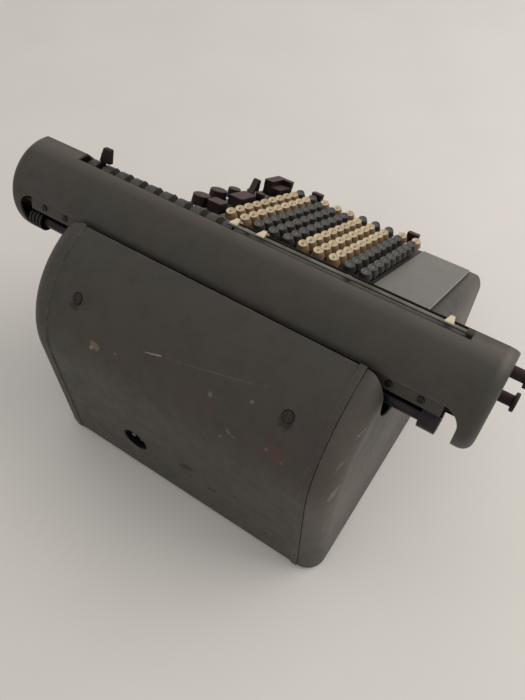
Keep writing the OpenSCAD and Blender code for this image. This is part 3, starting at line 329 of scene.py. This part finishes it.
# Matt black pieces: rubber, moulded phenolic and blackened plate, greyed by dust.
def makeBlack(name, tone, dustTone, roughness, grain, gloss=0.5):
    material, tree, shader, place = startMaterial(name)
    shader.inputs["Specular IOR Level"].default_value = gloss
    speck = addNode(tree, "TexNoise", {"Vector": place}, {"Scale": perMm(grain), "Detail": 6})
    dusty = addNode(tree, "MapRange", {"Value": speck}, {"From Min": 0.45, "From Max": 0.8, "To Max": 0.6})
    colour = addNode(tree, "MixRGB", {"Fac": dusty},
                     {"Color1": toLinear(tone), "Color2": toLinear(dustTone)})
    worn = rubbedEdges(tree, place, 0.6)
    colour = addNode(tree, "MixRGB", {"Fac": worn, "Color1": colour}, {"Color2": toLinear(dustTone)})
    tree.links.new(colour, shader.inputs["Base Color"])
    rough = addNode(tree, "MapRange", {"Value": speck},
                    {"To Min": roughness - 0.1, "To Max": roughness + 0.1})
    tree.links.new(rough, shader.inputs["Roughness"])
    bump = addNode(tree, "Bump", {"Height": speck}, {"Strength": 0.15, "Distance": 0.1 * mm})
    tree.links.new(bump, shader.inputs["Normal"])
    return material


blackRubber = makeBlack("blackRubber", "#1a1918", "#35332f", 0.8, 2.5)
phenolic = makeBlack("blackPhenolic", "#0b0a0a", "#171513", 0.7, 5.0, 0.12)
blackPlate = makeBlack("blackenedPlate", "#1c1b19", "#3a362f", 0.55, 7.0)
castPaint = makeBlack("motorCastPaint", "#3a3a38", "#55524a", 0.6, 4.0)
screwLacquer = makeBlack("darkLacquer", "#221f1b", "#2e2a25", 0.6, 4.0, 0.3)
dialBlack = makeBlack("dialBlack", "#161615", "#2c2b29", 0.4, 3.0)
darkFigure = makeBlack("darkFigureInk", "#2a2420", "#4a3f36", 0.6, 1.0)
paleFigure = makeBlack("paleFigureInk", "#cfc8b6", "#a59c89", 0.6, 1.0)
greyFigure = makeBlack("greyFigureInk", "#7b786f", "#5c5a53", 0.6, 1.0)
print("materials ready")


# Shaping

def shadeSoft(bm, limit=34):
    for face in bm.faces:
        face.smooth = True
    for edge in bm.edges:
        edge.smooth = not edge.is_manifold or edge.calc_face_angle(0) < math.radians(limit)


def finishPiece(name, bm, materials, node, body=None):
    shadeSoft(bm)
    mesh = bpy.data.meshes.new(name)
    bm.to_mesh(mesh)
    bm.free()
    for material in materials:
        mesh.materials.append(material)
    piece = bpy.data.objects.new(name, mesh)
    scene.collection.objects.link(piece)
    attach(piece, body or bodyOf[node])
    evenNormals = piece.modifiers.new("evenNormals", "WEIGHTED_NORMAL")
    evenNormals.keep_sharp = True
    return piece


# A merged copy of a CAD node with its sharp edges broken, which then stands for the node.
def dressNode(node, name, material, edge, steps=2, clamp=False, cut=None):
    bm = bmesh.new()
    bm.from_mesh(nodes[node].data)
    bmesh.ops.remove_doubles(bm, verts=bm.verts, dist=0.004 * mm)
    if cut:
        sliced = bmesh.ops.bisect_plane(bm, geom=bm.verts[:] + bm.edges[:] + bm.faces[:], dist=0.0001 * mm,
                                        plane_co=cut[0], plane_no=cut[1], clear_outer=True)
        rim = [g for g in sliced["geom_cut"] if isinstance(g, bmesh.types.BMEdge)]
        bmesh.ops.holes_fill(bm, edges=rim, sides=0)
        bmesh.ops.recalc_face_normals(bm, faces=bm.faces)
    bmesh.ops.dissolve_limit(bm, angle_limit=math.radians(0.3), verts=bm.verts, edges=bm.edges)
    crisp = [e for e in bm.edges if e.is_manifold and e.calc_face_angle(0) > math.radians(34)]
    if edge:
        bmesh.ops.bevel(bm, geom=crisp, offset=edge * mm, offset_type="OFFSET", segments=steps, profile=0.5,
                        affect="EDGES", clamp_overlap=clamp, material=-1)
    for face in bm.faces:
        face.material_index = 0
    piece = finishPiece(name, bm, [material], node)
    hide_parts(node)
    return piece


# Adds a ready mesh to a piece at a place, in mm.
def addShape(bm, shape, place, slotIndex=0):
    vertStart, faceStart = len(bm.verts), len(bm.faces)
    bm.from_mesh(shape)
    bm.verts.ensure_lookup_table()
    bm.faces.ensure_lookup_table()
    bmesh.ops.transform(bm, matrix=place, verts=bm.verts[vertStart:])
    for face in bm.faces[faceStart:]:
        face.material_index = slotIndex


def keepShape(name, bm):
    bmesh.ops.remove_doubles(bm, verts=bm.verts, dist=0.001)
    bmesh.ops.recalc_face_normals(bm, faces=bm.faces)
    mesh = bpy.data.meshes.new(name)
    bm.to_mesh(mesh)
    bm.free()
    return mesh


# Profile points are (radius, height) in mm, turned about Z.
def turnShape(bm, profile, steps):
    points = [bm.verts.new((radius, 0, height)) for radius, height in profile]
    edges = [bm.edges.new(pair) for pair in zip(points, points[1:])]
    bmesh.ops.spin(bm, geom=points + edges, cent=(0, 0, 0), axis=(0, 0, 1), angle=2 * math.pi, steps=steps,
                   use_merge=True)


def addBlock(bm, size, centre):
    made = bmesh.ops.create_cube(bm, size=1)["verts"]
    bmesh.ops.scale(bm, vec=size, verts=made)
    bmesh.ops.translate(bm, vec=centre, verts=made)
    return made


capHeight = 1.38  # size of the font for a figure one unit tall


def figureShape(text, height, relief):
    curve = bpy.data.curves.new("figure" + text, "FONT")
    curve.body = text
    curve.size = height * capHeight
    curve.align_x = "CENTER"
    curve.align_y = "CENTER"
    curve.resolution_u = 2
    curve.extrude = relief
    holder = bpy.data.objects.new("figure" + text, curve)
    scene.collection.objects.link(holder)
    bpy.context.view_layer.update()
    mesh = bpy.data.meshes.new_from_object(holder.evaluated_get(bpy.context.evaluated_depsgraph_get()))
    bpy.data.objects.remove(holder)
    bpy.data.curves.remove(curve)
    bm = bmesh.new()
    bm.from_mesh(mesh)
    return keepShape("figure" + text, bm)


# Case

caseParts = {
    "rear_cover": ("rearCover", rearEnamel, 0.5),
    "left_side_casing": ("leftSideCasing", sideEnamel, 0.5),
    "right_side_casing": ("rightSideCasing", sideEnamel, 0.5),
    "front_case": ("frontCase", frontEnamel, 0.5),
    "carriage_housing": ("carriageHousing", carriageEnamel, 0.5),
    "carriage_face": ("carriageFace", plainEnamel, 0.35),
    "left_panel": ("leftPanel", greyPanel, 0.5),
    "right_panel": ("rightPanel", greyPanel, 0.35),
    "keyboard_plate": ("keyboardPlate", blackPlate, 0.3),
    "base_plate": ("basePlate", frameSteel, 0.6),
    "rubber_feet": ("rubberFeet", blackRubber, 1.2),
    "power_inlet": ("powerInlet", phenolic, 0.5),
    "inlet_pins": ("inletPins", plainSteel, 0.8),
    "left_side_frame": ("leftSideFrame", frameSteel, 0.3),
    "right_side_frame": ("rightSideFrame", frameSteel, 0.3),
    "tie_rods": ("tieRods", plainSteel, 0.8),
}
for node, (name, material, edge) in caseParts.items():
    dressNode(node, name, material, edge, clamp=node == "carriage_housing")
# The slot faces of the rear cover screws take the blackened plate: painted shade in the slots.
screwSlotShade = {"places": (-98.5, 101.5), "halfWidth": 1.05}  # across the case, mm
piece = dressNode("rear_cover_screws", "rearCoverScrews", screwLacquer, 0.3)
piece.data.materials.append(blackPlate)
for face in piece.data.polygons:
    if min(abs(face.center.x / mm - x) for x in screwSlotShade["places"]) < screwSlotShade["halfWidth"]:
        face.material_index = 1
print("case dressed")

carriageParts = {
    "carriage_frame": ("carriageDeck", plainEnamel, 0.3),
    "flange_screws": ("flangeScrews", blackSteel, 0.4),
    "carriage_shaft": ("carriageShaft", blackSteel, 0.8),
    "shaft_bushes": ("shaftBushes", brassMetal, 0.4),
    "front_rail": ("frontRail", plainSteel, 0.8),
    "clamp_collar": ("clampCollar", blackSteel, 0.6),
    "ribbed_collar": ("ribbedCollar", blackSteel, 0.4),
    "register_spindles": ("registerSpindles", plainSteel, 0.5),
    "carriage_lever": ("carriageLever", darkMaroon, 0.9),
    "upper_plunger": ("upperPlunger", darkMaroon, 0.6),
    "lower_plunger": ("lowerPlunger", darkMaroon, 0.6),
    "motor_housing": ("motorHousing", castPaint, 1.5),
    "motor_spindle": ("motorSpindle", plainSteel, 0.2),
    "drive_shaft": ("driveShaft", plainSteel, 0.2),
}
for node, (name, material, edge) in carriageParts.items():
    dressNode(node, name, material, edge)
# The pale grey on the channel faces below channelTop is painted light: it lightens a channel that lies in
# shade.
markerRail = {"channelTop": 0.2385, "stopEnd": -0.1770}  # m, grey enamel below, case enamel beyond
piece = dressNode("marker_rail", "markerRail", plainSteel, 0.3)
piece.data.materials.append(greyPanel)
piece.data.materials.append(plainEnamel)
for face in piece.data.polygons:
    if face.center.x < markerRail["stopEnd"]:
        face.material_index = 2
    elif face.center.z < markerRail["channelTop"]:
        face.material_index = 1
# the sliders are thin saddles over the rail, so what the solid has behind and below it is cut away
markerCut = ((0.0, 0.0510, 0.2403), (0.0, 0.7071, -0.7071))
for index in (1, 2, 3):
    dressNode("decimal_marker_%d" % index, "decimalMarker%d" % index, markerPlastic, 0.4, clamp=True,
              cut=markerCut)
print("carriage dressed")

# Number keys

numberKeys = {
    "firstX": 69.03, "pitch": 302 / 19, "rowPitch": 16.3, "rows": 9, "columns": 10,
    "cap": [(0, -0.7), (2.9, -0.62), (3.55, -0.15), (4.1, 0.0), (4.55, -0.2), (4.8, -0.8), (5.2, -2.6),
            (6.1, -7.02), (0, -7.02)],
    "capSteps": 20, "stem": (3.0, 5.0, 26.5, -4.5), "figure": 3.9, "relief": 0.06, "figureTop": -0.66,
    "dark": (3, 4, 5, 9, 10),
}
figures = {text: figureShape(text, numberKeys["figure"], numberKeys["relief"]) for text in "0123456789"}
cap = bmesh.new()
turnShape(cap, numberKeys["cap"], numberKeys["capSteps"])
capShape = keepShape("numberKeyCap", cap)
stemWidth, stemLength, stemDepth, stemTop = numberKeys["stem"]
stem = bmesh.new()
addBlock(stem, (stemWidth, stemLength, stemDepth), (0, 0, stemTop - stemDepth / 2))
stemShape = keepShape("numberKeyStem", stem)
levelTop = Matrix.Rotation(-slopeAngle, 4, "X")  # the caps stand upright on a sloping keyboard


def addNumberKey(bm, column, row, figure):
    x = numberKeys["firstX"] - numberKeys["pitch"] * (column - 1)
    place = slopeFrame @ Matrix.Translation((x, -numberKeys["rowPitch"] * row, 0))
    addShape(bm, capShape, place @ levelTop)
    addShape(bm, stemShape, place)
    addShape(bm, figures[figure], place @ levelTop @ Matrix.Translation((0, 0, numberKeys["figureTop"])), 1)


def keyMaterials(isDark):
    return [slatePlastic, greyFigure] if isDark else [creamPlastic, darkFigure]


for column in range(1, numberKeys["columns"] + 1):
    keys = bmesh.new()
    for row in range(numberKeys["rows"]):
        addNumberKey(keys, column, row, str(numberKeys["rows"] - row))
    keys.transform(toFrame)
    node = "key_column_%d" % column
    piece = finishPiece("keyColumn%d" % column, keys, keyMaterials(column in numberKeys["dark"]), node)
    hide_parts(node)
clearKeys = (("dark_clear_keys", "darkClearKeys", True), ("cream_clear_keys", "creamClearKeys", False))
for node, name, isDark in clearKeys:
    keys = bmesh.new()
    for column in range(1, numberKeys["columns"] + 1):
        if (column in numberKeys["dark"]) != isDark:
            addNumberKey(keys, column, numberKeys["rows"], "0")
    keys.transform(toFrame)
    piece = finishPiece(name, keys, keyMaterials(isDark), node)
    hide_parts(node)
print("number keys made")

# Operation keys

operationKeys = {
    "top": 3.0, "height": 10.0, "stem": (6.0, 6.0, 26.0), "stemSunk": 0.2, "corner": 3.0, "edge": 0.8,
    "roundSteps": 40, "roundRim": 0.25, "roundFlare": 1.08, "blockFlare": 1.05,
}
roundKeys = {
    "round_key_rear": ("roundKeyRear", 103.53, 0, 17),
    "round_key_front": ("roundKeyFront", 106.03, 33, 17),
    "small_round_key": ("smallRoundKey", 102.03, 57, 13),
}
blockKeys = {
    "square_key": ("squareKey", 86.03, 2, 16, 16),
    "bar_key": ("barKey", 86.03, 48, 16, 30),
    "small_square_key": ("smallSquareKey", 82.03, 77, 9, 9),
}


def placeOnSlope(bm, x, down):
    bm.transform(toFrame @ slopeFrame @ Matrix.Translation((x, -down, operationKeys["top"])))


def addStem(bm):
    width, length, depth = operationKeys["stem"]
    top = operationKeys["stemSunk"] - operationKeys["height"]
    addBlock(bm, (width, length, depth), (0, 0, top - depth / 2))


for node, (name, x, down, width) in roundKeys.items():
    bm = bmesh.new()
    radius, tall = width / 2, operationKeys["height"]
    edge, rim = operationKeys["edge"], operationKeys["roundRim"]
    turnShape(bm, [(0, 0), (radius - edge, 0), (radius - rim, -rim), (radius, -edge),
                   (radius * operationKeys["roundFlare"], -tall), (0, -tall)], operationKeys["roundSteps"])
    bmesh.ops.remove_doubles(bm, verts=bm.verts, dist=0.001)
    addStem(bm)
    bmesh.ops.recalc_face_normals(bm, faces=bm.faces)
    placeOnSlope(bm, x, down)
    piece = finishPiece(name, bm, [maroonPlastic], node)
    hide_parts(node)


def addBlockCap(bm, width, length, tall):
    made = addBlock(bm, (width, length, tall), (0, 0, -tall / 2))
    for vert in made:
        if vert.co.z < -tall / 2:
            vert.co.x *= operationKeys["blockFlare"]
            vert.co.y *= operationKeys["blockFlare"]
    uprights = [e for e in bm.edges if abs(e.verts[0].co.z - e.verts[1].co.z) > tall / 2]
    bmesh.ops.bevel(bm, geom=uprights, offset=operationKeys["corner"], offset_type="OFFSET", segments=5,
                    profile=0.5, affect="EDGES", clamp_overlap=True, material=-1)
    rim = [e for e in bm.edges if e.verts[0].co.z > -0.01 and e.verts[1].co.z > -0.01]
    bmesh.ops.bevel(bm, geom=rim, offset=operationKeys["edge"], offset_type="OFFSET", segments=3, profile=0.5,
                    affect="EDGES", clamp_overlap=True, material=-1)


for node, (name, x, down, width, length) in blockKeys.items():
    bm = bmesh.new()
    addBlockCap(bm, width, length, operationKeys["height"])
    addStem(bm)
    bmesh.ops.recalc_face_normals(bm, faces=bm.faces)
    placeOnSlope(bm, x, down)
    piece = finishPiece(name, bm, [maroonPlastic], node)
    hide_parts(node)

solidKeys = {"add_key": "addKey", "setting_lever": "settingLever", "front_key_right": "frontKeyRight",
             "front_key_left": "frontKeyLeft"}
for node, name in solidKeys.items():
    dressNode(node, name, maroonPlastic, operationKeys["edge"], 3, clamp=True)
print("operation keys made")

# Registers

faceNormal = 145.5  # direction of the sloping face in the side view, degrees from the rear
alongX = Matrix.Rotation(math.radians(90), 4, "Y")
wheels = {
    "firstX": 164.5, "pitch": 302 / 19, "count": 10, "axis": (49.1035, 225.6723), "radius": 11.0,
    "width": 10.0, "bore": 2.55, "teeth": 10, "toothDepth": (1.9, 1.3, 0.6, 1.3), "flange": 3.4, "drum": 9.7,
}
rim, half = wheels["radius"], wheels["width"] / 2
bm = bmesh.new()
flangeEnd = wheels["flange"] - half  # a toothed flange on the operator's left of each drum
turnShape(bm, [(wheels["bore"], -half), (rim - 1.2, -half), (rim, -half + 0.8), (rim, flangeEnd - 0.8),
               (wheels["drum"], flangeEnd), (wheels["drum"], half - 0.7), (wheels["drum"] - 0.7, half),
               (wheels["bore"], half), (wheels["bore"], -half)], wheels["teeth"] * 4)
for vert in bm.verts:
    reach = math.hypot(vert.co.x, vert.co.y)
    turn = round(math.atan2(vert.co.y, vert.co.x) / (2 * math.pi) * wheels["teeth"] * 4) % 4
    if reach > rim - 0.5:
        vert.co.x *= 1 - wheels["toothDepth"][turn] / rim
        vert.co.y *= 1 - wheels["toothDepth"][turn] / rim
wheelShape = keepShape("registerWheel", bm)
bm = bmesh.new()
for index in range(wheels["count"]):
    x = wheels["firstX"] - index * wheels["pitch"]
    addShape(bm, wheelShape, Matrix.Translation((x, *wheels["axis"])) @ alongX)
bm.transform(toFrame)
piece = finishPiece("upperWheels", bm, [wheelGrey], "upper_wheels")
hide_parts("upper_wheels")

dials = {
    "firstX": 148.6, "pitch": 302 / 19, "count": 20, "axis": (38.4349, 206.795), "radius": 8.8, "width": 11.0,
    "bore": 2.55, "edge": 0.6, "steps": 40, "figure": 5.4, "relief": 0.05, "bends": (-1.8, -0.9, 0, 0.9, 1.8),
}
rim, half = dials["radius"], dials["width"] / 2
bm = bmesh.new()
edge = dials["edge"]
turnShape(bm, [(dials["bore"], -half), (rim - edge, -half), (rim, edge - half), (rim, half - edge),
               (rim - edge, half), (dials["bore"], half), (dials["bore"], -half)], dials["steps"])
drumShape = keepShape("dialDrum", bm)
# figures bent round the drum, the nought facing its window at rest
drumFigures = []
for value in range(10):
    bm = bmesh.new()
    bm.from_mesh(figureShape(str(value), dials["figure"], dials["relief"]))
    for cut in dials["bends"]:
        bmesh.ops.bisect_plane(bm, geom=bm.verts[:] + bm.edges[:] + bm.faces[:], dist=0.0001,
                               plane_co=(0, cut, 0), plane_no=(0, 1, 0))
    for vert in bm.verts:
        angle = math.radians(faceNormal + 360 / 10 * value) - vert.co.y / rim
        reach = rim + vert.co.z
        vert.co = (vert.co.x, reach * math.cos(angle), reach * math.sin(angle))
    drumFigures.append(keepShape("drumFigure%d" % value, bm))
bm = bmesh.new()
for index in range(dials["count"]):
    centre = Matrix.Translation((dials["firstX"] - index * dials["pitch"], *dials["axis"]))
    addShape(bm, drumShape, centre @ alongX)
    for shape in drumFigures:
        addShape(bm, shape, centre, 1)
bm.transform(toFrame)
piece = finishPiece("lowerDials", bm, [dialBlack, paleFigure], "lower_dials")
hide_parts("lower_dials")
print("registers made")

# Stage, light and camera

floorLook = {"tone": "#e4e1dd", "shade": "#dbd8d4", "size": 4.0}
bm = bmesh.new()
bmesh.ops.create_grid(bm, x_segments=1, y_segments=1, size=floorLook["size"])
floorMesh = bpy.data.meshes.new("floor")
bm.to_mesh(floorMesh)
bm.free()
floor = bpy.data.objects.new("floor", floorMesh)
scene.collection.objects.link(floor)
# painted table top: matt, warm white, faintly clouded
material, tree, shader, place = startMaterial("paleTable")
cloud = addNode(tree, "TexNoise", {"Vector": place}, {"Scale": perMm(160), "Detail": 3})
tone = addNode(tree, "MixRGB", {"Fac": cloud},
               {"Color1": toLinear(floorLook["tone"]), "Color2": toLinear(floorLook["shade"])})
tree.links.new(tone, shader.inputs["Base Color"])
shader.inputs["Roughness"].default_value = 0.65
floorMesh.materials.append(material)

lightSet = {
    "sky": "#f4f1ed", "skyStrength": 0.66, "backdrop": "#d9d6d1",
    "lamps": [("windowLamp", (-1.2, -0.9, 1.45), 1.6, 20.0, "#fffaf4")],
}
world = bpy.data.worlds.new("studio")
world.use_nodes = True
scene.world = world
tree = world.node_tree
background = tree.nodes["Background"]
path = tree.nodes.new("ShaderNodeLightPath")
seen = addNode(tree, "Math", {0: path.outputs["Is Camera Ray"], 1: path.outputs["Is Glossy Ray"]},
               operation="MAXIMUM")
seen = addNode(tree, "Math", {0: seen, 1: path.outputs["Is Transmission Ray"]}, operation="MAXIMUM")
sky = addNode(tree, "MixRGB", {"Fac": seen},
              {"Color1": toLinear(lightSet["sky"]), "Color2": toLinear(lightSet["backdrop"])})
power = addNode(tree, "MapRange", {"Value": seen}, {"To Min": lightSet["skyStrength"], "To Max": 1.0})
tree.links.new(sky, background.inputs["Color"])
tree.links.new(power, background.inputs["Strength"])
for name, spot, size, watts, tint in lightSet["lamps"]:
    lamp = bpy.data.lights.new(name, "AREA")
    lamp.size = size
    lamp.energy = watts
    lamp.color = toLinear(tint)[:3]
    holder = bpy.data.objects.new(name, lamp)
    holder.location = spot
    holder.rotation_euler = (Vector((0, 0, 0.1)) - Vector(spot)).to_track_quat("-Z", "Y").to_euler()
    scene.collection.objects.link(holder)

photoCamera = {
    "place": (-0.2099, 0.3518, 0.56936), "right": (-0.83295, -0.55335, 0.00264),
    "down": (-0.44063, 0.66038, -0.60806), "forward": (0.33473, -0.50765, -0.79388),
    "lens": 32.32, "sensor": 36.0,
}
lens = bpy.data.cameras.new("photoCamera")
lens.lens = photoCamera["lens"]
lens.sensor_width = photoCamera["sensor"]
lens.clip_start = 0.01
camera = bpy.data.objects.new("photoCamera", lens)
axes = [Vector(photoCamera["right"]), -Vector(photoCamera["down"]), -Vector(photoCamera["forward"])]
camera.matrix_world = Matrix.Translation(photoCamera["place"]) @ Matrix(axes).transposed().to_4x4()
scene.collection.objects.link(camera)
scene.camera = camera
scene.view_settings.view_transform = "Standard"
print("stage ready")
